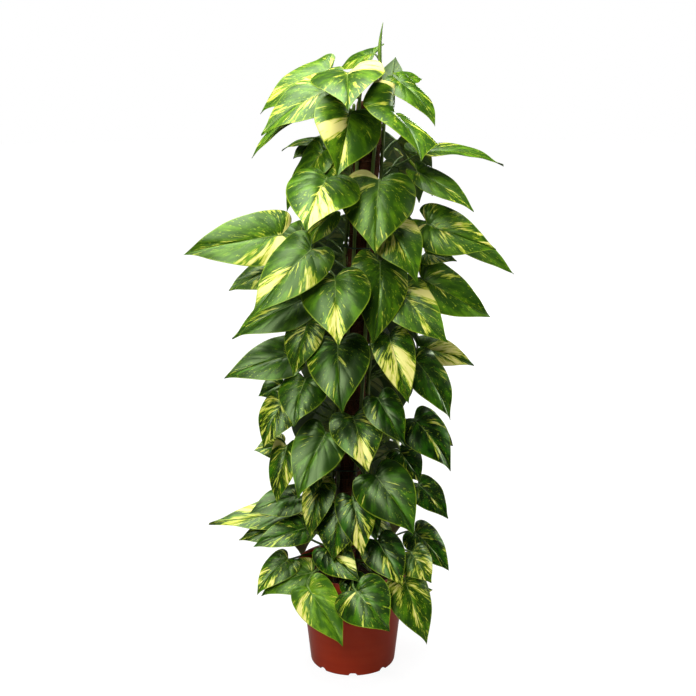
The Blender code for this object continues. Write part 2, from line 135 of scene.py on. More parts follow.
# Blade and stalk.
MARGIN = (
    (0.0, 0.0), (0.075, -0.060), (0.21, -0.125), (0.36, -0.105), (0.465, 0.005), (0.50, 0.16),
    (0.475, 0.34), (0.380, 0.53), (0.228, 0.72), (0.080, 0.88), (0.0, 1.0),
)
LOBE_START = 0.15  # the lobes start to rise here, in lengths from the notch
LOBE_RISE = 0.05
BLADE_THICKNESS = 0.0007
BLADE_ROWS = 72
BLADE_COLUMNS = 8
VEINS = 9  # lateral veins in each half
VEIN_RELIEF = 0.0003
MIDRIB_GROOVE = 0.0009
GROOVE_WIDTH = 0.0016
MIDRIB_END = 0.70  # how far along the blade the midrib stands out below
MIDRIB_STEPS = 12
MIDRIB_DROP = 0.0012
STALK_RADIUS = 0.0023
STALK_STEPS = 14
STALK_SIDES = 8
STALK_RISE = 0.5
LOWEST_NODE = 0.238
TOP_YOUTH_AND_LIGHT = 0.56  # how young and limy the green of the highest leaves is: partly young growth, partly painted light that makes the plant lighter higher up
YOUTH_AND_LIGHT_HEIGHTS = (0.42, 0.92)

# Leaves that the solids hold: name, blade's base and tip in centimetres, width in centimetres, the way that
# the upper face looks (degrees round from the front, and up), how much of it is cream, how young and limy its
# green is, and any bold cream sectors of it as (half, from vein, to vein, strength).
LEAVES = (
    ("crown_1", (-1, -6, 124), (-0.5, -19, 118), 14, -5, 60, 0.2, 0.1, (RIGHT, 0.28, 0.60, 0.7)),
    ("crown_2", (-4.5, 4, 124.5), (-18.5, 3, 116), 10, -15, 55, 0.34, 0.85, (RIGHT, 0.3, 0.5, 0.5)),
    ("crown_3", (-5, -4, 121), (-17.5, -8, 112.5), 11, -15, 50, 0.30, 0.65, (LEFT, 0.3, 0.5, 0.4)),
    ("crown_4", (-0.5, -10, 117), (-3, -18, 106), 13.5, 28, 40, 0.12, 0.25,
     (LEFT, 0.20, 0.34, 1.0), (LEFT, 0.64, 0.78, 0.9), (RIGHT, 0.84, 0.95, 0.6)),
    ("crown_5", (7.5, -9, 116.6), (11.8, -22, 109.3), 16.5, 65, 55, 0.14, 0.2,
     (LEFT, 0.06, 0.36, 1.1), (LEFT, 0.5, 0.6, 0.5)),
    ("crown_6", (8.8, 0.5, 122.3), (16, -4, 114), 9, 50, 30, 0.12, 0.1),
    ("crown_7", (12.5, -1, 108.5), (30, 3, 105.5), 8, 0, 75, 0.2, 0.2),
    ("crown_8", (12.5, -2.5, 105), (23.5, -6, 97.8), 9, 30, 60, 0.15, 0.0),
    ("upper_1", (-6, -3, 109), (-13.3, -2, 97), 8.5, -50, 20, 0.15, 0.35, (RIGHT, 0.5, 0.7, 0.4)),
    ("upper_2", (-5, -11, 104.8), (-9, -21, 96.2), 14, -5, 45, 0.12, 0.05,
     (RIGHT, 0.72, 0.95, 0.75), (LEFT, 0.84, 0.95, 0.6), (LEFT, 0.36, 0.44, 0.5)),
    ("upper_3", (5, -9, 104.2), (4, -16, 91.2), 14.5, 0, 30, 0.1, 0.0,
     (LEFT, 0.10, 0.40, 1.15), (LEFT, 0.55, 0.68, 0.6)),
    ("upper_4", (6.5, -8, 96), (12.5, -14, 85.5), 11, 20, 25, 0.18, 0.1,
     (RIGHT, 0.45, 0.62, 0.8), (LEFT, 0.6, 0.8, 0.6)),
    ("upper_5", (14.5, -4, 95), (28, -5, 90), 10, 0, 30, 0.2, 0.15,
     (LEFT, 0.12, 0.34, 0.8), (RIGHT, 0.1, 0.25, 0.6), (LEFT, 0.7, 0.8, 0.6)),
    ("upper_6", (15, 6, 94), (32.5, 2, 83.5), 9, 30, 40, 0.1, 0.0),
    ("upper_7", (-14, -5, 93), (-33.2, -7, 90), 11.5, -5, 30, 0.22, 0.1,
     (RIGHT, 0.3, 0.55, 0.9), (LEFT, 0.12, 0.32, 0.8)),
    ("upper_8", (-8, -11.5, 91.3), (-18.8, -17, 79), 11.5, -15, 30, 0.12, 0.15,
     (LEFT, 0.74, 0.9, 0.6), (RIGHT, 0.3, 0.4, 0.5)),
    ("middle_1", (-10, -5, 80), (-24, -7, 72.5), 10, -20, 40, 0.08, 0.0),
    ("middle_2", (-3.5, -12, 86), (-3, -21, 74.7), 13.5, -3, 35, 0.1, 0.1,
     (LEFT, 0.84, 0.97, 0.8), (RIGHT, 0.87, 0.97, 0.7), (RIGHT, 0.30, 0.36, 0.5)),
    ("middle_3", (5.2, -7.5, 88), (3.5, -13, 73), 11.5, 15, 25, 0.1, 0.0, (RIGHT, 0.5, 0.65, 0.5)),
    ("middle_4", (9, -7, 82.5), (18, -13, 73), 11, 20, 30, 0.28, 0.15,
     (LEFT, 0.25, 0.5, 0.8), (RIGHT, 0.5, 0.62, 0.5)),
    ("middle_5", (13.5, -3, 84), (27.5, -3, 75.5), 11, 15, 35, 0.18, 0.0, (LEFT, 0.5, 0.62, 0.7)),
    ("middle_6", (7, -9, 73.5), (10.5, -15, 61.5), 8.5, 15, 20, 0.36, 0.1, (BOTH, 0.62, 0.85, 0.5)),
    ("middle_7", (12.5, -4, 67.5), (19.5, -8, 56), 10, 35, 25, 0.22, 0.0),
    ("middle_8", (-12, -4, 68.5), (-26, -5, 64), 9.5, -10, 40, 0.12, 0.0),
    ("middle_9", (-3, -10, 72.5), (-2.5, -18, 60.5), 12.5, -5, 30, 0.08, 0.1, (LEFT, 0.55, 0.62, 0.4)),
    ("lower_1", (-9.5, -8, 64.5), (-12, -14, 56.5), 10, -15, 25, 0.1, 0.2),
    ("lower_2", (-14, -4, 59), (-18, -8, 50), 9, -25, 30, 0.33, 0.1),
    ("lower_3", (-5.5, -9, 53.5), (-11.5, -16, 42.5), 10.5, -8, 30, 0.08, 0.3),
    ("lower_4", (0, -9, 57), (2.5, -17, 48), 10.5, 5, 30, 0.24, 0.1,
     (BOTH, 0.84, 0.98, 0.7), (LEFT, 0.4, 0.5, 0.5)),
    ("lower_5", (12.5, -3, 54.5), (20, -6, 44.5), 10, 30, 25, 0.15, 0.0),
    ("lower_6", (4.5, -10, 45), (12.5, -16, 35), 12, 5, 30, 0.06, 0.15),
    ("lower_7", (-12, 1, 33), (-30.5, 0, 30.5), 8, -10, 55, 0.32, 0.15, (LEFT, 0.6, 0.8, 0.4)),
    ("lower_8", (0, -10, 40), (1.5, -15, 29.5), 8, 0, 25, 0.14, 0.0, (BOTH, 0.84, 0.97, 0.6)),
    ("lower_9", (5, -9, 30.5), (10, -15, 23), 9, 10, 30, 0.15, 0.0),
    ("skirt_1", (13, -2, 29.5), (20, -4, 21.5), 8, 30, 25, 0.25, 0.0),
    ("skirt_2", (-9, -14.5, 22.6), (-1.5, -19, 12.3), 9, 0, 30, 0.12, 0.85, (LEFT, 0.5, 0.7, 0.6)),
    ("skirt_3", (10.5, -11, 23), (15.5, -14, 10), 9.5, 20, 30, 0.4, 0.35),
)

# How far the left and the right half of some leaves fold up from the midrib; the others draw it.
FOLDS = {"leaf_crown_1": (0.30, 0.46), "leaf_crown_4": (0.48, 0.36), "leaf_crown_5": (0.40, 0.34)}

# How far the left and the right lobe of some leaves rise behind the notch, in lengths.
LOBES = {"leaf_crown_1": (0.03, 0.08), "leaf_crown_4": (0.10, 0.04), "leaf_crown_5": (0.30, 0.02)}

# Smaller leaves between them, which only the looks hold, written the same way. Their names are numbers.
SMALLER_LEAVES = (
    ((4, 4, 127.3), (-3, 10, 123.6), 8.5, 0, 60, 0.2, 0.5),
    ((7.5, 7, 121.5), (8.5, 9, 126.5), 5, 165, -10, 0.1, 0.2),
    ((9.5, 6, 122.5), (14, 12, 122), 5, 20, 60, 0.15, 0.8),
    ((-6.5, -7, 119), (-19.5, -11, 108), 8, -60, 50, 0.2, 0.5),
    ((-7.5, 4, 110.5), (-14.5, 8, 108), 4, -10, 70, 0.2, 0.0),
    ((-7, 0, 110), (-12, -2, 107), 6, -10, 60, 0.1, 0.0),
    ((14.5, 0, 88.5), (20.5, -3, 87.5), 5, 10, 40, 0.4, 0.2),
    ((-10, -1, 92), (-20, 2, 87.5), 7, -10, 40, 0.1, 0.1),
    ((-14.5, -3, 86.5), (-24.5, -5, 82), 9, -30, 40, 0.3, 0.1),
    ((14, -2, 68.5), (25, -1, 64.5), 7, 15, 45, 0.2, 0.0, (BOTH, 0.6, 0.9, 0.5)),
    ((-9, -7, 76), (-11.5, -10, 66), 8, -20, 25, 0.25, 0.0, (LEFT, 0.05, 0.45, 0.9)),
    ((-14.5, 0, 61), (-19.5, -1, 58.5), 6, -20, 30, 0.1, 0.0),
    ((-14.5, 0, 48), (-20.5, -1, 47), 6, -20, 30, 0.3, 0.1),
    ((-13.5, -5, 49.5), (-15.5, -9, 38.5), 7, -30, 30, 0.25, 0.1, (LEFT, 0.3, 0.45, 0.8)),
    ((5, -8, 60.5), (10, -13, 52), 8, 15, 25, 0.1, 0.0),
    ((14, 2, 53), (21, 3, 46.5), 7, 20, 30, 0.2, 0.0),
    ((9.5, -2, 47.5), (14, -3, 41), 8, 20, 30, 0.1, 0.0),
    ((-6.5, -7, 42.5), (-9, -12, 32.5), 7, -20, 25, 0.42, 0.2),
    ((13.5, -3, 40.5), (19.5, -5, 33.5), 7, 25, 30, 0.2, 0.0),
    ((-11.5, -3, 38), (-21.5, -5, 35), 8, -20, 50, 0.05, 0.1),
    ((-10, -6, 32), (-20.5, -9, 29), 7, -15, 45, 0.2, 0.1),
    ((-15, -1, 30.5), (-24, -2, 27.5), 6, -10, 40, 0.3, 0.1),
    ((-13.5, -6, 25), (-20, -10, 19), 7, -30, 30, 0.3, 0.2),
    ((-8.5, -10.5, 22.8), (-19, -12.5, 18.6), 8.5, -10, 50, 0.12, 0.6, (LEFT, 0.3, 0.5, 0.4)),
    ((0.5, -13, 23.2), (7.0, -17.5, 16.2), 11.5, 0, 30, 0.16, 0.15, (LEFT, 0.45, 0.55, 0.5)),
    ((10.5, -5, 18), (16.5, -5, 19.5), 6, 10, 50, 0.3, 0.1),
    ((12, -5, 27.5), (16, -8, 22), 8, 20, 30, 0.4, 0.3),
    ((-5.5, -9, 29), (1.5, -15, 24), 8, 0, 30, 0.12, 0.0, (RIGHT, 0.74, 0.86, 0.6)),
    ((-0.5, -8, 23), (3, -13, 19), 6, 0, 30, 0.15, 0.0),
)

# The back's leaves, as the solids have them.
BACK_TIERS = 5
BACK_FIRST_HEIGHT = 0.34
BACK_TIER_STEP = 0.19
BACK_DIRECTIONS = (62, 118)
BACK_REACH = 0.105
BACK_TIP_REACH = 0.185
BACK_DROP = 0.135
BACK_WIDTH = 0.125


def margin(s):
    """A point of the half outline, for s from 0 at the notch to 1 at the tip."""
    position = s * (len(MARGIN) - 1)
    i = min(int(position), len(MARGIN) - 2)
    t = position - i
    before, after = MARGIN[max(i - 1, 0)], MARGIN[min(i + 2, len(MARGIN) - 1)]
    return [
        0.5 * (2 * b + (c - a) * t + (2 * a - 5 * b + 4 * c - d) * t * t + (3 * b - a - 3 * c + d) * t**3)
        for a, b, c, d in zip(before, MARGIN[i], MARGIN[i + 1], after)
    ]


def heading(angle):
    return Vector((math.cos(angle), math.sin(angle), 0.0))


def polar(radius, angle, height):
    return Vector((radius * math.cos(angle), radius * math.sin(angle), height))


def pole_axis(height):
    return POLE_FOOT.lerp(POLE_TOP, (height - POLE_FOOT.z) / (POLE_TOP.z - POLE_FOOT.z))


def vine_radius(height):
    return VINE_RADIUS + (VINE_TIP_RADIUS - VINE_RADIUS) * min(1.0, height / POLE_TOP.z)


def vine_point(index, height):
    direction = math.radians(VINES[index][1] + VINE_WANDER * math.sin(height * 9.0 + 2.1 * index))
    reach = COIR_RADIUS + GAP + vine_radius(height)
    return pole_axis(height) + reach * heading(direction)


def bezier(controls, t):
    a, b, c, d = controls
    u = 1 - t
    return a * u**3 + b * (3 * u * u * t) + c * (3 * u * t * t) + d * t**3


def smooth_step(low, high, value):
    t = min(max((value - low) / (high - low), 0.0), 1.0)
    return t * t * (3 - 2 * t)


class Leaf:
    """One leaf: where its blade lies, how it is curved, and how it is coloured."""

    def __init__(self, name, base, tip, width, round_angle, up_angle, cream, young, *sectors):
        self.name = name
        self.base, self.tip = Vector(base), Vector(tip)
        self.length = (self.tip - self.base).length
        self.width = width / self.length
        draw = random.Random(name)
        fold = draw.uniform(0.16, 0.30)
        self.fold = dict(zip((LEFT, RIGHT), FOLDS.get(name, (fold, fold))))
        self.lobe = dict(zip((LEFT, RIGHT), LOBES.get(name, (LOBE_RISE, LOBE_RISE))))
        self.arch = draw.uniform(0.75, 1.15)
        self.curl = draw.uniform(0.05, 0.10)
        self.bow = draw.uniform(-0.03, 0.03)
        self.twist = draw.uniform(-0.25, 0.25)
        self.wave = draw.uniform(0.006, 0.017)
        self.phase = draw.uniform(0.0, 1.0)
        self.hook = draw.uniform(-0.05, 0.05)
        self.cream, self.sectors = cream, sectors
        # Higher leaves get a limier, lighter green: partly young growth, partly painted light falling from
        # above.
        self.young = max(young, TOP_YOUTH_AND_LIGHT * smooth_step(*YOUTH_AND_LIGHT_HEIGHTS, self.tip.z))
        self.seed = draw.uniform(0.0, 50.0)
        turn, tilt = math.radians(round_angle), math.radians(up_angle)
        look = Vector((math.sin(turn), -math.cos(turn), 0.0)) * math.cos(tilt)
        look.z = math.sin(tilt)
        self.along = (self.tip - self.base).normalized()
        self.normal = (look - self.along * look.dot(self.along)).normalized()
        self.across = self.along.cross(self.normal)

    def local(self, s, v, side):
        """A point of the blade in lengths. s picks the vein and v runs along it, from the midrib out."""
        vein_foot = s**5.5
        edge_x, edge_y = margin(s)
        x = side * edge_x * v * self.width
        y = vein_foot + (edge_y - vein_foot) * v - 0.25 * edge_x * v * (1 - v)
        z = 4 * self.curl * y * (1 - y) + self.fold[side] * abs(x) - self.arch * x * x
        z += self.lobe[side] * smooth_step(LOBE_START, -0.12, y) * min(1.0, abs(x) / 0.15)
        z += self.twist * x * (y - 0.3)
        turn = math.tau * (self.phase + 0.25 * side)
        z += self.wave * v**3 * (math.sin(turn + 14.5 * s) + 0.4 * math.sin(2.3 * turn + 33.0 * s))
        x += 4 * self.bow * y * (1 - y) + self.hook * max(y, 0.0) ** 6
        return x, y, z

    def place(self, x, y, z):
        return self.base + self.length * (x * self.across + y * self.along + z * self.normal)

    def relief(self, s, v):
        """The blade's quilting between the lateral veins, and the groove over the midrib, in metres."""
        between_veins = math.sqrt(abs(math.sin(math.pi * VEINS * s)))
        quilt = between_veins * min(1.0, 5.0 * v) * min(1.0, 3.0 * (1 - v) + 0.1)
        groove = math.exp(-((v * 0.5 * self.width * self.length / GROOVE_WIDTH) ** 2))
        return VEIN_RELIEF * quilt - MIDRIB_GROOVE * groove

    def sector(self, s, v, side):
        """How strongly a bold cream sector covers this point."""
        best = 0.0
        for half, start, end, strength in self.sectors:
            if half in (BOTH, side):
                inside = smooth_step(start - 0.04, start + 0.04, s) * smooth_step(end + 0.04, end - 0.04, s)
                best = max(best, strength * inside)
        return best

    def vine_distance(self, index):
        foot = vine_point(index, self.base.z - 0.05)
        return Vector((foot.x - self.base.x, foot.y - self.base.y)).length

    def node(self):
        """The vine that carries the leaf, and the height at which its stalk leaves it."""
        index = min(range(len(VINES)), key=self.vine_distance)
        height = min(self.base.z - STALK_RISE * self.vine_distance(index), VINES[index][2] - 0.012)
        return index, max(height, LOWEST_NODE)

    def stalk(self):
        """The stalk's centre line, from the notch to its vine."""
        index, height = self.node()
        centre = vine_point(index, height)
        away = centre - pole_axis(height)
        toward = self.base - centre
        toward.z = 0.0
        out = (away.normalized() + toward.normalized()).normalized()
        end = centre + out * (vine_radius(height) + GAP)
        span = (self.base - end).length
        controls = (
            self.base - self.along * 0.0015,
            self.base - self.along * 0.0015 - (0.85 * self.normal + 0.5 * self.along) * span * 0.30,
            end + (0.9 * out + Vector((0, 0, 0.35))) * span * 0.40,
            end,
        )
        path = [bezier(controls, i / STALK_STEPS) for i in range(STALK_STEPS + 1)]
        path.insert(-1, end + out * 0.004)
        return path


def leaf_of(row):
    name, base, tip, width, *rest = row
    return Leaf("leaf_" + name, Vector(base) * CM, Vector(tip) * CM, width * CM, *rest)


def leaf_list():
    """The leaves that the solids hold."""
    leaves = [leaf_of(row) for row in LEAVES]
    for tier in range(BACK_TIERS):
        for number, direction in enumerate(BACK_DIRECTIONS):
            height = BACK_FIRST_HEIGHT + BACK_TIER_STEP * tier + 0.02 * number
            turn = math.radians(direction + (8 if tier % 2 else -8))
            outward = heading(turn)
            base = pole_axis(height) + BACK_REACH * outward
            tip = pole_axis(height) + BACK_TIP_REACH * outward - Vector((0, 0, BACK_DROP))
            name = f"leaf_back_{tier * len(BACK_DIRECTIONS) + number + 1}"
            cream = random.Random(name + "cream").uniform(0.08, 0.35)
            leaves.append(Leaf(name, base, tip, BACK_WIDTH, math.degrees(turn) + 90, 35, cream, 0.1))
    return leaves


# Materials


def put(socket, value):
    """Fills a socket with a number, a vector, a colour or another node's output."""
    if isinstance(value, bpy.types.NodeSocket):
        socket.id_data.links.new(value, socket)
    else:
        socket.default_value = (*value, 1.0) if socket.type == "RGBA" else value


def add_node(tree, kind, *values, **settings):
    """A new node with its settings made and its first sockets filled."""
    node = tree.nodes.new("ShaderNode" + kind)
    for key, setting in settings.items():
        setattr(node, key, setting)
    for socket, value in zip(node.inputs, values):
        put(socket, value)
    return node


class Shading:
    """A material's node tree, built with short calls that take numbers or other nodes' outputs."""

    def __init__(self, name):
        self.material = bpy.data.materials.new(name)
        self.material.use_nodes = True
        self.tree = self.material.node_tree
        self.shader = self.tree.nodes["Principled BSDF"]

    def attribute(self, name):
        return add_node(self.tree, "Attribute", attribute_name=name).outputs["Fac"]

    def position(self, scale=(1.0, 1.0, 1.0)):
        """The place on the object, stretched by scale."""
        place = add_node(self.tree, "TexCoord").outputs["Object"]
        return add_node(self.tree, "VectorMath", place, scale, operation="MULTIPLY").outputs[0]

    def math(self, operation, a, b=0.0, c=0.0):
        return add_node(self.tree, "Math", a, b, c, operation=operation).outputs[0]

    def vector(self, x, y, z):
        return add_node(self.tree, "CombineXYZ", x, y, z).outputs[0]

    def noise(self, place, **settings):
        """A noise at a place. The settings are the node's own: scale, detail, roughness and distortion."""
        node = add_node(self.tree, "TexNoise", place)
        for key, value in {"scale": 1.0, **settings}.items():
            node.inputs[key.capitalize()].default_value = value
        return node.outputs["Fac"]

    def ramp(self, factor, stops):
        node = add_node(self.tree, "ValToRGB", factor)
        elements = node.color_ramp.elements
        while len(elements) < len(stops):
            elements.new(0.5)
        for element, (place, colour) in zip(elements, stops):
            element.position = place
            element.color = (*colour, 1.0)
        return node.outputs[0]

    def mix(self, factor, a, b):
        node = add_node(self.tree, "Mix", factor, data_type="RGBA")
        put(node.inputs[6], a)
        put(node.inputs[7], b)
        return node.outputs[2]

    def between(self, value, low, high):
        """0 below low, 1 above high, and smooth between them."""
        node = add_node(self.tree, "MapRange", value, low, high, interpolation_type="SMOOTHSTEP")
        return node.outputs[0]

    def bump(self, height, strength, distance):
        node = add_node(self.tree, "Bump")
        node.inputs["Strength"].default_value = strength
        node.inputs["Distance"].default_value = distance
        put(node.inputs["Height"], height)
        put(self.shader.inputs["Normal"], node.outputs[0])

    def surface(self, colour, roughness, specular=0.5):
        put(self.shader.inputs["Base Color"], colour)
        put(self.shader.inputs["Roughness"], roughness)
        self.shader.inputs["Specular IOR Level"].default_value = specular


DARK_GREEN = (0.001, 0.009, 0.001)
LEAF_GREEN = (0.022, 0.108, 0.002)
YOUNG_DARK = (0.035, 0.110, 0.003)
YOUNG_GREEN = (0.150, 0.300, 0.006)
LIME = (0.225, 0.330, 0.014)
YELLOW = (0.470, 0.490, 0.050)
CREAM = (0.740, 0.680, 0.220)
UNDER_GREEN = (0.170, 0.255, 0.105)
LEAF_SHEEN = (0.72, 1.00, 0.46, 1.0)


def variegation(shade):
    """The blade's colour: streaks of cream and lime that follow the lateral veins over mottled green. Also
    gives how creamy each place is, and the long streaks."""
    vein, out, seed = shade.attribute("vein"), shade.attribute("out"), shade.attribute("seed")
    cream, young, sector = shade.attribute("cream"), shade.attribute("young"), shade.attribute("sector")
    across = shade.math("ABSOLUTE", out)
    half_seed = shade.math("MULTIPLY_ADD", shade.math("SIGN", out), 3.7, seed)

    def streaks(along_scale, across_scale, detail, shift):
        place = shade.vector(
            shade.math("MULTIPLY", vein, along_scale),
            shade.math("MULTIPLY", across, across_scale),
            shade.math("ADD", half_seed, shift),
        )
        return shade.math("SUBTRACT", shade.noise(place, detail=detail, roughness=0.6), 0.5)

    broad = streaks(5.0, 0.7, 1.0, 0.0)
    long_streaks = streaks(28.0, 1.3, 2.0, 11.0)
    fine = streaks(85.0, 3.6, 3.0, 23.0)
    level = -0.46
    for part, weight in ((cream, 0.80), (broad, 1.45), (long_streaks, 1.45), (fine, 1.05), (sector, 0.78)):
        level = shade.math("MULTIPLY_ADD", part, weight, level)
    flecks = shade.between(streaks(80.0, 10.0, 1.0, 37.0), 0.14, 0.19)
    fleck_share = shade.between(shade.math("ADD", streaks(3.0, 1.2, 1.0, 61.0), cream), -0.02, 0.25)

    mottle = shade.between(streaks(12.0, 1.8, 4.0, 51.0), -0.07, 0.20)
    old_green = shade.mix(mottle, DARK_GREEN, LEAF_GREEN)
    young_green = shade.mix(mottle, YOUNG_DARK, YOUNG_GREEN)
    # The young green is partly painted light: it is stronger on higher leaves, so they look lighter.
    green = shade.mix(young, old_green, young_green)
    colour = shade.mix(shade.math("MULTIPLY", flecks, fleck_share), green, LIME)
    for low, high, tint in ((-0.04, 0.01, LIME), (0.01, 0.10, YELLOW), (0.10, 0.30, CREAM)):
        colour = shade.mix(shade.between(level, low, high), colour, tint)
    midrib = shade.between(across, 0.035, 0.008)
    colour = shade.mix(shade.math("MULTIPLY", midrib, 0.5), colour, LIME)
    # A thin lime rim along the margin: a painted highlight of the lit leaf edges.
    rim = shade.between(across, 0.965, 0.988)
    return shade.mix(shade.math("MULTIPLY", rim, 0.65), colour, LIME), level, long_streaks


def vein_relief(shade, streaks):
    """Height of the veins that lie in the blade between the quilts, for a bump."""
    phase = shade.math("MULTIPLY", shade.attribute("vein"), math.pi * VEINS)
    ridge = shade.math("POWER", shade.math("ABSOLUTE", shade.math("SINE", phase)), 0.5)
    return shade.math("MULTIPLY_ADD", streaks, 0.8, ridge)


# Materials of one noise, which sets both the colour and the bump: dark and light colour, where the ramp
# between them starts and ends, roughness, specular level, bump as (strength, distance), stretch, and the
# noise's settings.
PLAIN_MATERIALS = {
    "leaf_stalk": ((0.050, 0.110, 0.016), (0.19, 0.30, 0.06), (0.35, 0.65), 0.45, 0.5, (0.3, 0.0004),
        (180, 180, 40), {"detail": 3}),
    "bark_chips": ((0.018, 0.009, 0.005), (0.110, 0.055, 0.028), (0.3, 0.7), 0.9, 0.2, (0.8, 0.001),
        (500, 500, 120), {"detail": 5, "roughness": 0.65}),
    "coir_fibre": ((0.055, 0.022, 0.010), (0.20, 0.095, 0.045), (0.35, 0.65), 0.7, 0.3, None,
        (1, 1, 1), {"scale": 60, "detail": 2}),
    "stake_wood": ((0.13, 0.065, 0.028), (0.36, 0.22, 0.11), (0.3, 0.7), 0.75, 0.3, (0.5, 0.0006),
        (420, 420, 18), {"detail": 5, "roughness": 0.6, "distortion": 0.6}),
    "aerial_root": ((0.030, 0.016, 0.008), (0.120, 0.075, 0.035), (0.35, 0.65), 0.85, 0.2, (0.6, 0.0005),
        (1, 1, 1), {"scale": 220, "detail": 3}),
    "coated_wire": ((0.006, 0.022, 0.008), (0.030, 0.065, 0.028), (0.4, 0.7), 0.4, 0.5, (0.3, 0.0003),
        (1, 1, 1), {"scale": 300, "detail": 3}),
    "rolled_leaf": ((0.055, 0.15, 0.012), (0.26, 0.40, 0.06), (0.35, 0.65), 0.42, 0.45, (0.4, 0.0005),
        (420, 420, 26), {"detail": 3, "roughness": 0.6}),
}


def plain_material(name):
    dark, light, (start, end), roughness, specular, bump, stretch, settings = PLAIN_MATERIALS[name]
    shade = Shading(name)
    grain = shade.noise(shade.position(stretch), **settings)
    shade.surface(shade.ramp(grain, ((start, dark), (end, light))), roughness, specular)
    if bump:
        shade.bump(grain, *bump)
    return shade.material


def leaf_materials():
    top = Shading("leaf_upper_face")
    colour, level, streaks = variegation(top)
    matt = top.math("MULTIPLY_ADD", top.attribute("young"), 0.12, 0.30)
    top.surface(colour, top.math("MULTIPLY_ADD", top.between(level, -0.1, 0.2), 0.06, matt), 0.50)
    top.shader.inputs["Specular Tint"].default_value = LEAF_SHEEN
    top.bump(vein_relief(top, streaks), 0.32, 0.0007)

    under = Shading("leaf_lower_face")
    colour, level, streaks = variegation(under)
    under.surface(under.mix(0.60, colour, UNDER_GREEN), 0.55, 0.4)
    under.bump(vein_relief(under, streaks), 0.5, 0.0007)

    return top.material, under.material, plain_material("leaf_stalk")


def pot_material():
    """Moulded polypropylene: a satin skin with faint flow marks round the wall and a little dust."""
    shade = Shading("pot_plastic")
    flow = shade.noise(shade.position((4, 4, 60)), detail=3)
    grain = shade.noise(shade.position(), scale=900, detail=2)
    dust = shade.between(shade.noise(shade.position(), scale=14, detail=5, roughness=0.65), 0.5, 0.75)
    colour = shade.ramp(flow, ((0.3, (0.370, 0.033, 0.010)), (0.7, (0.410, 0.040, 0.012))))
    dusty = shade.mix(shade.math("MULTIPLY", dust, 0.04), colour, (0.30, 0.17, 0.11))
    shade.surface(dusty, shade.math("MULTIPLY_ADD", dust, 0.14, 0.36), 0.25)
    shade.bump(shade.math("MULTIPLY_ADD", grain, 0.3, flow), 0.12, 0.0006)
    shade.shader.inputs["Sheen Weight"].default_value = 0.30
    shade.shader.inputs["Sheen Roughness"].default_value = 0.35
    shade.shader.inputs["Sheen Tint"].default_value = (1.0, 0.80, 0.70, 1.0)
    return shade.material


def soil_material():
    shade = Shading("potting_mix")
    crumbs = shade.noise(shade.position(), scale=260, detail=6, roughness=0.7)
    specks = shade.between(shade.noise(shade.position(), scale=420, detail=1), 0.70, 0.74)
    colour = shade.ramp(crumbs, ((0.32, (0.006, 0.004, 0.003)), (0.7, (0.050, 0.028, 0.016))))
    shade.surface(shade.mix(specks, colour, (0.35, 0.31, 0.25)), 0.95, 0.2)
    shade.bump(crumbs, 0.9, 0.002)
    return shade.material


def coir_material():
    """Matted coconut fibre, dark and slightly red."""
    shade = Shading("coir_mat")
    strands = shade.noise(shade.position((900, 900, 60)), detail=4, roughness=0.6, distortion=1.5)
    cross = shade.noise(shade.position((240, 240, 700)), detail=3, roughness=0.6, distortion=2.0)
    weave = shade.math("MULTIPLY", strands, cross)
    colour = shade.ramp(weave, ((0.14, (0.018, 0.006, 0.002)), (0.42, (0.200, 0.070, 0.028))))
    shade.surface(colour, 0.95, 0.15)
    shade.bump(weave, 1.0, 0.002)
    return shade.material


def vine_material():
    """Green stem with pale lengthwise stripes, browner where it is old."""
    shade = Shading("vine_stem")
    stripes = shade.noise(shade.position((700, 700, 12)), detail=3, roughness=0.6)
    spots = shade.noise(shade.position((90, 90, 60)), detail=4)
    green = shade.ramp(stripes, ((0.35, (0.050, 0.105, 0.015)), (0.66, (0.25, 0.34, 0.07))))
    brown = shade.ramp(stripes, ((0.35, (0.030, 0.018, 0.008)), (0.66, (0.120, 0.085, 0.040))))
    age = shade.math("ADD", shade.attribute("age"), shade.math("MULTIPLY_ADD", spots, 1.2, -0.6))
    shade.surface(shade.mix(shade.between(age, 0.35, 0.75), green, brown), 0.48, 0.45)
    shade.bump(stripes, 0.5, 0.0006)
    return shade.material


# Meshes


def tube_rings(path, radii, sides, side):
    """Rings of points round the path, carried along it without twist."""
    rings = []
    for i, (point, radius) in enumerate(zip(path, radii)):
        ahead = (path[min(i + 1, len(path) - 1)] - path[max(i - 1, 0)]).normalized()
        side = (side - ahead * side.dot(ahead)).normalized()
        up = ahead.cross(side)
        angles = [math.tau * k / sides for k in range(sides)]
        rings.append([point + radius * (math.cos(a) * side + math.sin(a) * up) for a in angles])
    return rings


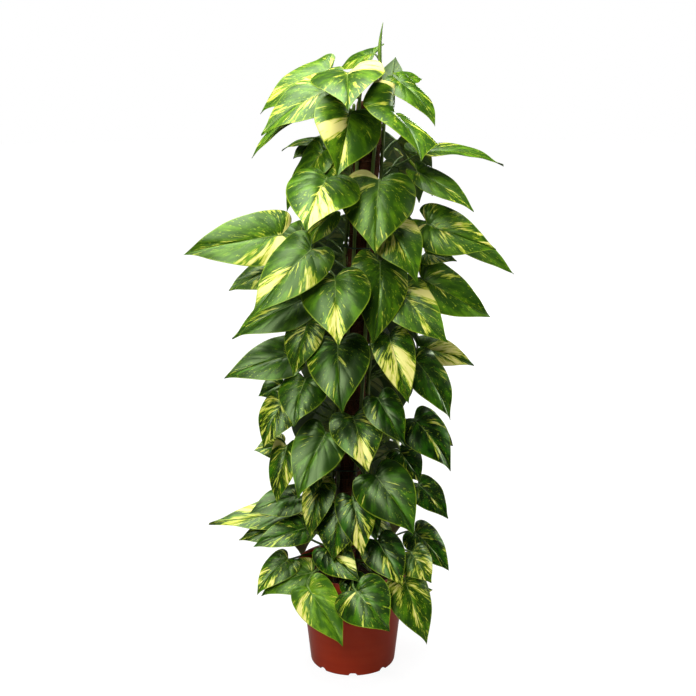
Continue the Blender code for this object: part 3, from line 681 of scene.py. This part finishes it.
class Builder:
    """Collects points, faces and attributes of one mesh piece."""

    def __init__(self):
        self.points, self.faces, self.slots = [], [], []
        self.values = {}

    def point(self, place, **values):
        for key, value in values.items():
            self.values.setdefault(key, {})[len(self.points)] = value
        self.points.append(place)
        return len(self.points) - 1

    def face(self, corners, slot=0):
        corners = list(dict.fromkeys(corners))
        if len(corners) > 2:
            self.faces.append(corners)
            self.slots.append(slot)

    def bridge(self, lower, upper, slot=0):
        for k in range(len(lower)):
            n = (k + 1) % len(lower)
            self.face((lower[k], lower[n], upper[n], upper[k]), slot)

    def loft(self, rings, slot=0):
        """Joins each ring to the next one, and closes both ends."""
        for lower, upper in zip(rings, rings[1:]):
            self.bridge(lower, upper, slot)
        self.face(rings[0][::-1], slot)
        self.face(rings[-1], slot)

    def tube(self, path, radii, sides, side, slot=0):
        self.loft([[self.point(p) for p in ring] for ring in tube_rings(path, radii, sides, side)], slot)

    def spin(self, profile, segments, matrix=Matrix.Identity(4), shape=None):
        """Turns (radius, height) points round Z. A shape takes and gives a point, to roughen the surface."""
        rings = []
        for radius, height in profile:
            count = segments if radius > 0 else 1
            turns = [math.tau * k / segments for k in range(count)]
            ring = [polar(radius, a, height) for a in turns]
            ring = [shape(p) if shape else p for p in ring]
            rings.append([self.point(matrix @ p) for p in ring] * (segments // count))
        for lower, upper in zip(rings, rings[1:]):
            self.bridge(lower, upper)

    def piece(self, name, *materials, smooth_angle=50):
        mesh = bpy.data.meshes.new(name)
        mesh.from_pydata(self.points, [], self.faces)
        for material in materials:
            mesh.materials.append(material)
        mesh.polygons.foreach_set("material_index", self.slots)
        for key, found in self.values.items():
            attribute = mesh.attributes.new(key, "FLOAT", "POINT")
            attribute.data.foreach_set("value", [found.get(i, 0.0) for i in range(len(self.points))])
        mesh.shade_smooth()
        mesh.set_sharp_from_angle(angle=math.radians(smooth_angle))
        obj = bpy.data.objects.new(name, mesh)
        bpy.context.scene.collection.objects.link(obj)
        return obj


def settle(piece, slot, *nodes):
    """Puts a finished piece on the plant and hides any solids it stands for. Its slot is not used."""
    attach(piece, "root")
    if nodes:
        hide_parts(*nodes)


def carve(piece, cutter):
    """Cuts the cutter out of the piece for good."""
    modifier = piece.modifiers.new("carve", "BOOLEAN")
    modifier.object = cutter
    modifier.solver = "EXACT"
    evaluated = piece.evaluated_get(bpy.context.evaluated_depsgraph_get())
    carved = bpy.data.meshes.new_from_object(evaluated)
    piece.modifiers.clear()
    piece.data = carved
    bpy.data.objects.remove(cutter)


def leaf_builder(leaf, rows=BLADE_ROWS, columns=BLADE_COLUMNS):
    """A blade of two skins and a rim, and a stalk that runs on under the blade as its midrib."""
    built = Builder()
    common = {"seed": leaf.seed, "cream": leaf.cream, "young": leaf.young}

    def skin(half_thickness):
        grid = {}
        for i in range(rows + 1):
            s = i / rows
            for side in (RIGHT, LEFT):
                for j in range(columns + 1):
                    shared = (i, 0, 0) if i in (0, rows) or j == 0 else (i, j, side)
                    if shared not in grid:
                        v = j / columns if shared[2] else 0.0
                        x, y, z = leaf.local(s, v, side)
                        lift = leaf.relief(s, v) + half_thickness
                        place = leaf.place(x, y, z + lift / leaf.length)
                        sector = leaf.sector(s, v, side)
                        grid[shared] = built.point(place, vein=s, out=v * side, sector=sector, **common)
                    grid[i, j, side] = grid[shared]
        return grid

    top, bottom = skin(BLADE_THICKNESS / 2), skin(-BLADE_THICKNESS / 2)
    for side in (RIGHT, LEFT):
        for i in range(rows):
            for j in range(columns):
                for grid, faces_up, slot in ((top, 1, 0), (bottom, -1, 1)):
                    corners = [grid[a, b, side] for a, b in ((i, j), (i, j + 1), (i + 1, j + 1), (i + 1, j))]
                    built.face(corners[:: side * faces_up], slot)
            near, far = (i, columns, side), (i + 1, columns, side)
            built.face((top[near], bottom[near], bottom[far], top[far])[::side])

    midrib = []
    for i in range(MIDRIB_STEPS, 0, -1):
        y = MIDRIB_END * i / MIDRIB_STEPS
        x, z = 4 * leaf.bow * y * (1 - y), 4 * leaf.curl * y * (1 - y)
        midrib.append(leaf.place(x, y, z - MIDRIB_DROP / leaf.length))
    stalk = leaf.stalk()
    radii = [0.0003 + 0.0011 * i / MIDRIB_STEPS for i in range(MIDRIB_STEPS)]
    radii += [STALK_RADIUS * (0.85 + 0.45 * (i / len(stalk)) ** 2) for i in range(len(stalk))]
    built.tube(midrib + stalk, radii, STALK_SIDES, leaf.across, 2)
    return built


def tree_of(built):
    return BVHTree.FromPolygons(built.points, built.faces)


def random_leaf(number, draw):
    """A leaf round the plant: small and close to the pole in front, larger and farther out behind."""
    height = draw.uniform(*FILL_HEIGHTS)
    directions = FILL_LOW_DIRECTIONS if height < FILL_DENSE_BELOW else FILL_DIRECTIONS
    turn = math.radians(draw.uniform(*directions))
    behind = smooth_step(-0.5, 0.3, math.sin(turn))
    length = draw.uniform(*FILL_LENGTHS) + 0.03 * behind
    drop = math.radians(draw.uniform(*FILL_DROPS))
    outward = heading(turn)
    base = pole_axis(height) + (draw.uniform(*FILL_STALKS) + 0.04 * behind) * outward
    tip = base + length * (math.cos(drop) * outward - math.sin(drop) * UP)
    look = math.degrees(turn) + 90 + draw.uniform(-22, 22)
    width = length * draw.uniform(0.78, 0.95)
    cream = draw.choice(FILL_CREAMS)
    # Fill leaves near the top get a limier, lighter green: partly young growth, partly painted light from
    # above.
    young = smooth_step(0.95, 1.2, height) * draw.uniform(0.2, 0.8)
    half, start = draw.choice((LEFT, RIGHT)), draw.uniform(0.1, 0.6)
    sector = (half, start, start + draw.uniform(0.1, 0.3), draw.uniform(0.3, 0.9))
    return Leaf(f"leaf_fill_{number}", base, tip, width, look, draw.uniform(20, 45), cream, young, sector)


def fill_leaves(taken):
    """Random leaves that fit between those there are, by a coarse test. taken holds their search trees."""
    draw = random.Random(FILL_SEED)
    deepest = cad_box[1][1]
    leaves = []
    for _ in range(FILL_TRIES):
        leaf = random_leaf(len(leaves) + 1, draw)
        trial = leaf_builder(leaf, TRIAL_ROWS, TRIAL_COLUMNS)
        inside = all(abs(p.x - pole_axis(p.z).x) < FILL_SIDE and p.y < deepest for p in trial.points)
        tree = tree_of(trial)
        if inside and not any(tree.overlap(other) for other in taken):
            taken.append(tree)
            leaves.append(leaf)
        if len(leaves) == FILL_COUNT:
            break
    return leaves


def vine_tree():
    """A search tree of the vines, less a hair, so that a stalk may end on one."""
    built = Builder()
    for index, (_, _, tip_height) in enumerate(VINES):
        heights = [SOIL_CROWN + (tip_height - SOIL_CROWN) * i / 60 for i in range(61)]
        path = [vine_point(index, height) for height in heights]
        built.tube(path, [0.9 * vine_radius(height) for height in heights], 8, Vector((0, 1, 0)))
    return tree_of(built)


def pot_tree():
    """A search tree of the pot's outside and its lip."""
    built = Builder()
    profile = [(FOOT_RADIUS, 0.0), (LIP_RADIUS, POT_HEIGHT), (LIP_RADIUS - LIP_GUARD, POT_HEIGHT)]
    built.spin(profile, POT_SEGMENTS // 2)
    return tree_of(built)


def clear_leaf(name, row, trees):
    """The leaf of a row and its surface, moved in depth to where it crosses the fewest faces of the trees."""
    base, tip, *rest = row
    best = None
    for shift in DEPTH_SHIFTS:
        places = [(x, y + shift, z) for x, y, z in (base, tip)]
        leaf = leaf_of((name, *places, *rest))
        built = leaf_builder(leaf)
        tree = tree_of(built)
        hits = sum(len(tree.overlap(other)) for other in trees)
        if best is None or hits < best[0]:
            best = hits, leaf, built, tree
        if hits == 0:
            break
    return best[1:]


def add_leaves():
    """All leaves. The later ones look for places clear of the pot, the vines and the earlier leaves."""
    finishes = leaf_materials()
    trees = []
    for leaf in leaf_list():
        built = leaf_builder(leaf)
        trees.append(tree_of(built))
        settle(built.piece(leaf.name + "_grown", *finishes), "leaf", leaf.name)
    trees.append(pot_tree())
    for number, row in enumerate(SMALLER_LEAVES, 1):
        leaf, built, tree = clear_leaf(f"between_{number}", row, trees)
        trees.append(tree)
        settle(built.piece(leaf.name, *finishes), "leaf")
    trees.append(vine_tree())
    for leaf in fill_leaves(trees):
        settle(leaf_builder(leaf).piece(leaf.name, *finishes), "leaf")


def inside_radius(height):
    """The pot's inner radius at a height."""
    foot, neck = FOOT_RADIUS - POT_WALL, NECK_RADIUS - POT_WALL
    return foot + (neck - foot) * height / SHOULDER


def pole_matrix():
    """Takes the pole's own frame, with Z along it from its foot, to where it stands."""
    along = (POLE_TOP - POLE_FOOT).normalized()
    return Matrix.Translation(POLE_FOOT) @ UP.rotation_difference(along).to_matrix().to_4x4()


def rounded(corners, radius, steps=5):
    """An open profile with each inner corner rounded by an arc-like curve."""
    path = [corners[0]]
    for before, corner, after in zip(corners, corners[1:], corners[2:]):
        corner = Vector(corner)
        ends = []
        for other in (Vector(before), Vector(after)):
            reach = min(radius, (other - corner).length * 0.45)
            ends.append(corner + (other - corner).normalized() * reach)
        for i in range(steps + 1):
            t = i / steps
            path.append(tuple(ends[0] * (1 - t) ** 2 + corner * (2 * t * (1 - t)) + ends[1] * t * t))
    return path + [corners[-1]]


def add_pot():
    """The moulded pot: foot, wall, rolled lip and a ring of arched drain holes round the foot."""
    corners = [
        (0.0, 0.0015), (FOOT_RADIUS - 0.012, 0.0015), (FOOT_RADIUS - 0.010, 0.0), (FOOT_RADIUS, 0.0),
        (FOOT_RADIUS + 0.0008, 0.006),
        (NECK_RADIUS, SHOULDER), (LIP_RADIUS, SHOULDER), (LIP_RADIUS, POT_HEIGHT),
        (NECK_RADIUS - POT_WALL, POT_HEIGHT), (NECK_RADIUS - POT_WALL, SHOULDER),
        (inside_radius(POT_FLOOR), POT_FLOOR), (0.0, POT_FLOOR),
    ]
    built = Builder()
    built.spin(rounded(corners, 0.0025), POT_SEGMENTS)
    pot = built.piece("pot_moulded", pot_material(), smooth_angle=35)
    drains = Builder()
    for i in range(DRAIN_HOLES):
        turn = Matrix.Rotation(math.tau * i / DRAIN_HOLES - math.pi / 2, 4, "Z")
        frame_of_hole = (
            turn
            @ Matrix.Translation((FOOT_RADIUS, 0, 0))
            @ Matrix.Diagonal((DRAIN_DEPTH, DRAIN_WIDTH / 2, DRAIN_HEIGHT, 1))
            @ Matrix.Rotation(math.pi / 2, 4, "Y")
        )
        drains.spin([(0.0, -1.0), (1.0, -1.0), (1.0, 1.0), (0.0, 1.0)], 24, frame_of_hole)
    carve(pot, drains.piece("drain_cutter"))
    settle(pot, "pot", "nursery_pot")


def add_soil():
    """Potting mix with an uneven surface."""
    radius = inside_radius(SOIL_EDGE) - GAP
    profile = [(0.0, 0.06), (inside_radius(0.06) - GAP, 0.06), (radius, SOIL_EDGE - 0.004)]
    for i in range(SOIL_RINGS, -1, -1):
        share = i / SOIL_RINGS
        profile.append((radius * share, SOIL_EDGE + (SOIL_CROWN - SOIL_EDGE) * (1 - share**2)))

    def uneven(p):
        if p.z < SOIL_EDGE - 0.001:
            return p
        lumps = noise.noise(p * 45) * 0.0022 + noise.noise(p * 130) * 0.0013 + noise.noise(p * 380) * 0.0006
        return p + Vector((0, 0, lumps))

    built = Builder()
    built.spin(profile, 160, shape=uneven)
    settle(built.piece("soil_surface", soil_material(), smooth_angle=80), "soil", "potting_soil")
    add_bark(radius)


def add_bark(radius):
    """Chips that lie in the soil's surface, out to radius."""
    draw = random.Random(FILL_SEED + 1)
    chips = Builder()
    for _ in range(BARK_CHIPS):
        reach = (radius - 0.006) * math.sqrt(draw.random())
        turn = draw.uniform(0, math.tau)
        height = SOIL_EDGE + (SOIL_CROWN - SOIL_EDGE) * (1 - (reach / radius) ** 2)
        place = polar(reach, turn, height)
        if (place - pole_axis(height)).length < COIR_RADIUS + 0.014:
            continue
        size = draw.uniform(0.003, 0.0075)
        spin = Matrix.Rotation(draw.uniform(0, math.tau), 4, "Z")
        spin = spin @ Matrix.Rotation(draw.uniform(-0.5, 0.5), 4, "X")
        stretch = Matrix.Diagonal((size, size * draw.uniform(0.4, 0.7), size * 0.3, 1))
        form = Matrix.Translation(place) @ spin @ stretch
        shift = Vector((draw.random() * 9, 0, 0))
        profile = [(0.0, -1.0), (0.75, -0.8), (1.0, 0.0), (0.8, 0.75), (0.0, 1.0)]
        chips.spin(profile, 7, form, lambda p, shift=shift: p * (1 + 0.5 * noise.noise(p * 1.3 + shift)))
    settle(chips.piece("soil_bark", plain_material("bark_chips"), smooth_angle=30), "soil")


def add_pole():
    """The stake, the coir mat round it, and the mat's loose fibres."""
    length = (POLE_TOP - POLE_FOOT).length
    top = length - CORE_SHOWS
    matrix = pole_matrix()
    add_sleeve(top, matrix)
    add_fibres(top, matrix)
    stake = Builder()
    corners = [(0.0, 0.0), (CORE_RADIUS, 0.0), (CORE_RADIUS, length), (0.0, length)]
    stake.spin(rounded(corners, 0.0015), 48, matrix)
    finish = plain_material("stake_wood")
    settle(stake.piece("stake_turned", finish, smooth_angle=35), "stake", "pole_stake")


def add_sleeve(top, matrix):
    """The mat: a rough tube up to top, in the pole's own frame."""
    rise = top - 0.004 - COIR_FOOT
    profile = [(CORE_RADIUS + GAP, COIR_FOOT), (COIR_RADIUS - 0.002, COIR_FOOT)]
    profile += [(COIR_RADIUS - 0.0006, COIR_FOOT + rise * i / COIR_STEPS) for i in range(1, COIR_STEPS)]
    profile += [(COIR_RADIUS - 0.003, top), (CORE_RADIUS + GAP, top), (CORE_RADIUS + GAP, COIR_FOOT)]

    def matted(p):
        if p.xy.length < CORE_RADIUS + 0.001:
            return p
        around = Vector((p.x * 260, p.y * 260, p.z * 70))
        lump = noise.noise(around) * 0.0012 + noise.noise(p * 60) * 0.0010
        return Vector((*(p.xy * (1 + (lump - 0.0008) / COIR_RADIUS)), p.z))

    sleeve = Builder()
    sleeve.spin(profile, 72, matrix, matted)
    settle(sleeve.piece("coir_matted", coir_material(), smooth_angle=80), "coir", "coir_sleeve")


def add_fibres(top, matrix):
    """Loose fibres on the mat, and the twine that winds round it."""
    draw = random.Random(FILL_SEED + 2)
    fibres = Builder()
    for _ in range(COIR_FIBRES):
        turn, height = draw.uniform(0, math.tau), draw.uniform(0.17, top - 0.01)
        lean, rise = draw.uniform(-0.5, 0.5), draw.uniform(-0.015, 0.02)
        lift = draw.uniform(0.0006, 0.0028)
        path = []
        for i in range(6):
            t = i / 5
            angle = turn + lean * t
            reach = COIR_RADIUS - 0.0012 + lift * math.sin(math.pi * t)
            path.append(matrix @ polar(reach, angle, height + rise * t))
        fibres.tube(path, [0.00018] * len(path), 3, (path[1] - path[0]).orthogonal())
    pieces = TWINE_TURNS * TWINE_STEPS
    for k in range(pieces):
        turn, height = math.tau * k / TWINE_STEPS, TWINE_FOOT + (top - 0.21) * k / pieces
        after, rise = math.tau * (k + 1) / TWINE_STEPS, (top - 0.21) / pieces
        ends = ((turn, height), (after, height + rise))
        path = [matrix @ polar(COIR_RADIUS - 0.0002, angle, z) for angle, z in ends]
        fibres.tube(path, [0.0005, 0.0005], 6, UP)
    settle(fibres.piece("coir_fibres", plain_material("coir_fibre")), "coir")


def soil_height(point):
    """The height of the soil's surface under a point, near the pole."""
    share = Vector((point.x, point.y)).length / inside_radius(SOIL_EDGE)
    return SOIL_CROWN - (SOIL_CROWN - SOIL_EDGE) * 0.4 / 0.62 * share


def add_vines():
    """Climbing stems with a swollen ring at each node, and short roots that hold on to the coir there."""
    finish, root_finish = vine_material(), plain_material("aerial_root")
    for index, (name, _, tip_height) in enumerate(VINES):
        foot_height = soil_height(vine_point(index, SOIL_CROWN)) - 0.004
        draw = random.Random(name)
        steps = round((tip_height - foot_height) / 0.004)
        first_node = draw.uniform(0.0, NODE_STEP)
        path, radii, ages = [], [], []
        for i in range(steps + 1):
            height = foot_height + (tip_height - foot_height) * i / steps
            past = (height - first_node) % NODE_STEP
            swell = math.exp(-((min(past, NODE_STEP - past) / 0.004) ** 2))
            path.append(vine_point(index, height))
            radii.append(vine_radius(height) * (0.97 + 0.13 * swell) * (1 if i < steps else 0.4))
            ages.append(smooth_step(0.8, 0.2, height) * 0.8 + 0.35 * swell)
        built = Builder()
        rings = tube_rings(path, radii, 14, Vector((0, 1, 0)))
        built.loft([[built.point(p, age=age) for p in ring] for ring, age in zip(rings, ages)])
        settle(built.piece(name + "_grown", finish), "stem", name)

        roots = Builder()
        height = first_node + NODE_STEP * math.ceil((foot_height + 0.02 - first_node) / NODE_STEP)
        while height < tip_height - 0.02:
            for _ in range(draw.randint(2, 4)):
                add_root(roots, index, height + draw.uniform(-0.004, 0.004), draw)
            height += NODE_STEP
        settle(roots.piece(name + "_roots", root_finish), "stem")


def add_root(roots, index, height, draw):
    """One root, from the side of a vine down on to the coir."""
    centre, axis = vine_point(index, height), pole_axis(height)
    inward = (axis - centre).normalized()
    turn = draw.choice((-1, 1)) * draw.uniform(0.25, 0.7)
    foot = centre + vine_radius(height) * (Matrix.Rotation(-turn * 2, 3, "Z") @ inward)
    spread = Matrix.Rotation(turn, 3, "Z") @ -inward
    drop = draw.uniform(0.008, 0.03)
    low = pole_axis(height - drop) + spread * (COIR_RADIUS + 0.0004)
    middle = (foot + low) / 2 - inward * 0.002
    path = [bezier((foot, middle, middle, low), i / 6) for i in range(7)]
    roots.tube(path, [0.0011 - 0.0001 * i for i in range(7)], 6, UP.cross(inward))


def add_ties():
    """Closed loops of wire that bear on the six vines."""
    finish = plain_material("coated_wire")
    for number, height in enumerate(TIE_HEIGHTS, 1):
        reach = vine_radius(height) * 1.1 + GAP + TIE_RADIUS
        path = []
        for index in sorted(range(len(VINES)), key=lambda i: VINES[i][1]):
            centre = vine_point(index, height)
            outward = (centre - pole_axis(height)).normalized()
            for turn in range(-30, 31, 10):
                path.append(centre + reach * (Matrix.Rotation(math.radians(turn), 3, "Z") @ outward))
        built = Builder()
        rings = []
        for i, point in enumerate(path):
            side = (path[(i + 1) % len(path)] - path[i - 1]).normalized().cross(UP)
            turns = [math.tau * k / 10 for k in range(10)]
            places = [point + TIE_RADIUS * (math.cos(a) * side + math.sin(a) * UP) for a in turns]
            rings.append([built.point(p) for p in places])
        for i, ring in enumerate(rings):
            built.bridge(rings[i - 1], ring)
        settle(built.piece(f"tie_{number}_wire", finish), "tie_wire", f"tie_{number}")


def add_spike():
    """The youngest leaf, rolled up: its free edge winds round it as a low step."""
    index = max(range(len(VINES)), key=lambda i: VINES[i][2])
    foot = vine_point(index, VINES[index][2]) + Vector((0, 0, 0.0011))
    tip = foot + SPIKE_REACH
    built = Builder()
    rings = []
    for i in range(SPIKE_STEPS + 1):
        t = i / SPIKE_STEPS
        place = t * (len(SPIKE_RADII) - 1)
        k = min(int(place), len(SPIKE_RADII) - 2)
        radius = SPIKE_RADII[k] + (SPIKE_RADII[k + 1] - SPIKE_RADII[k]) * (place - k)
        centre = foot.lerp(tip, t) + Vector((-SPIKE_BOW * math.sin(math.pi * t), 0, 0))
        ring = []
        for side in range(SPIKE_SIDES):
            step = 0.86 + 0.18 * side / (SPIKE_SIDES - 1)
            angle = math.tau * side / SPIKE_SIDES + 1.2 * t + 2.6
            ring.append(built.point(centre + heading(angle) * radius * step))
        rings.append(ring)
    built.loft(rings)
    finish = plain_material("rolled_leaf")
    settle(built.piece("new_leaf_rolled", finish, smooth_angle=40), "young_leaf", "new_leaf_spike")


# The studio


def add_camera():
    """At the photograph's viewing angle, a little above the plant and looking down on it."""
    camera = bpy.data.objects.new("camera", bpy.data.cameras.new("camera"))
    camera.data.lens = 67.24
    camera.data.sensor_width = 36.0
    camera.location = (-0.0103, -2.567, 1.348)
    camera.rotation_euler = (math.radians(90 - 14.4), 0.0, 0.0)
    bpy.context.scene.collection.objects.link(camera)
    bpy.context.scene.camera = camera


def add_light(name, place, size, power, target=(0.0, 0.0, 0.8), spread=180):
    light = bpy.data.objects.new(name, bpy.data.lights.new(name, "AREA"))
    light.data.shape = "DISK"
    light.data.size = size
    light.data.energy = power
    light.data.spread = math.radians(spread)
    light.location = place
    light.rotation_euler = (Vector(target) - Vector(place)).to_track_quat("-Z", "Y").to_euler()
    bpy.context.scene.collection.objects.link(light)


def for_camera(tree, as_light, as_seen):
    """A strength that differs between what lights the plant and what the picture's backdrop shows."""
    seen = add_node(tree, "LightPath").outputs["Is Camera Ray"]
    return add_node(tree, "MapRange", seen, 0.0, 1.0, as_light, as_seen).outputs[0]


def add_floor():
    built = Builder()
    built.spin([(12.0, 0.0), (0.0, 0.0)], 96)
    shade = Shading("pale_floor")
    shade.surface((0.12, 0.12, 0.12), 0.9, 0.0)
    shade.shader.inputs["Emission Color"].default_value = (1, 1, 1, 1)
    distance = add_node(shade.tree, "VectorMath", shade.position(), operation="LENGTH").outputs["Value"]
    fade = shade.between(distance, *FLOOR_FADE)
    seen = shade.math("MULTIPLY_ADD", fade, 1.0 - FLOOR_WHITE, FLOOR_WHITE)
    put(shade.shader.inputs["Emission Strength"], for_camera(shade.tree, FLOOR_GLOW, seen))
    built.piece("floor", shade.material)


def add_world():
    """White to the camera, and dimmer as a light, so that the lamps model the leaves."""
    world = bpy.data.worlds.new("studio")
    world.use_nodes = True
    background = world.node_tree.nodes["Background"]
    background.inputs["Color"].default_value = (1, 1, 1, 1)
    put(background.inputs["Strength"], for_camera(world.node_tree, WORLD_LIGHT, 1.0))
    bpy.context.scene.world = world


def main():
    bpy.context.scene.view_settings.view_transform = "Standard"
    add_camera()
    add_floor()
    add_world()
    add_light("overhead_softbox", (-0.4, 0.1, 5.4), 4.6, 540)
    add_light("front_softbox", (-1.2, -2.5, 3.6), 2.8, 34, target=(0.0, 0.0, 1.35), spread=70)
    add_light("right_fill", (2.2, 0.6, 1.2), 0.5, 18)
    add_light("back_softbox", (0.9, 3.8, 0.8), 1.8, 90)
    add_light("pot_fill", (-0.4, -2.8, 0.12), 0.2, 0.055, target=(0.0, 0.0, 0.09), spread=10)
    add_pot()
    add_soil()
    add_pole()
    add_vines()
    add_ties()
    add_leaves()
    add_spike()


main()
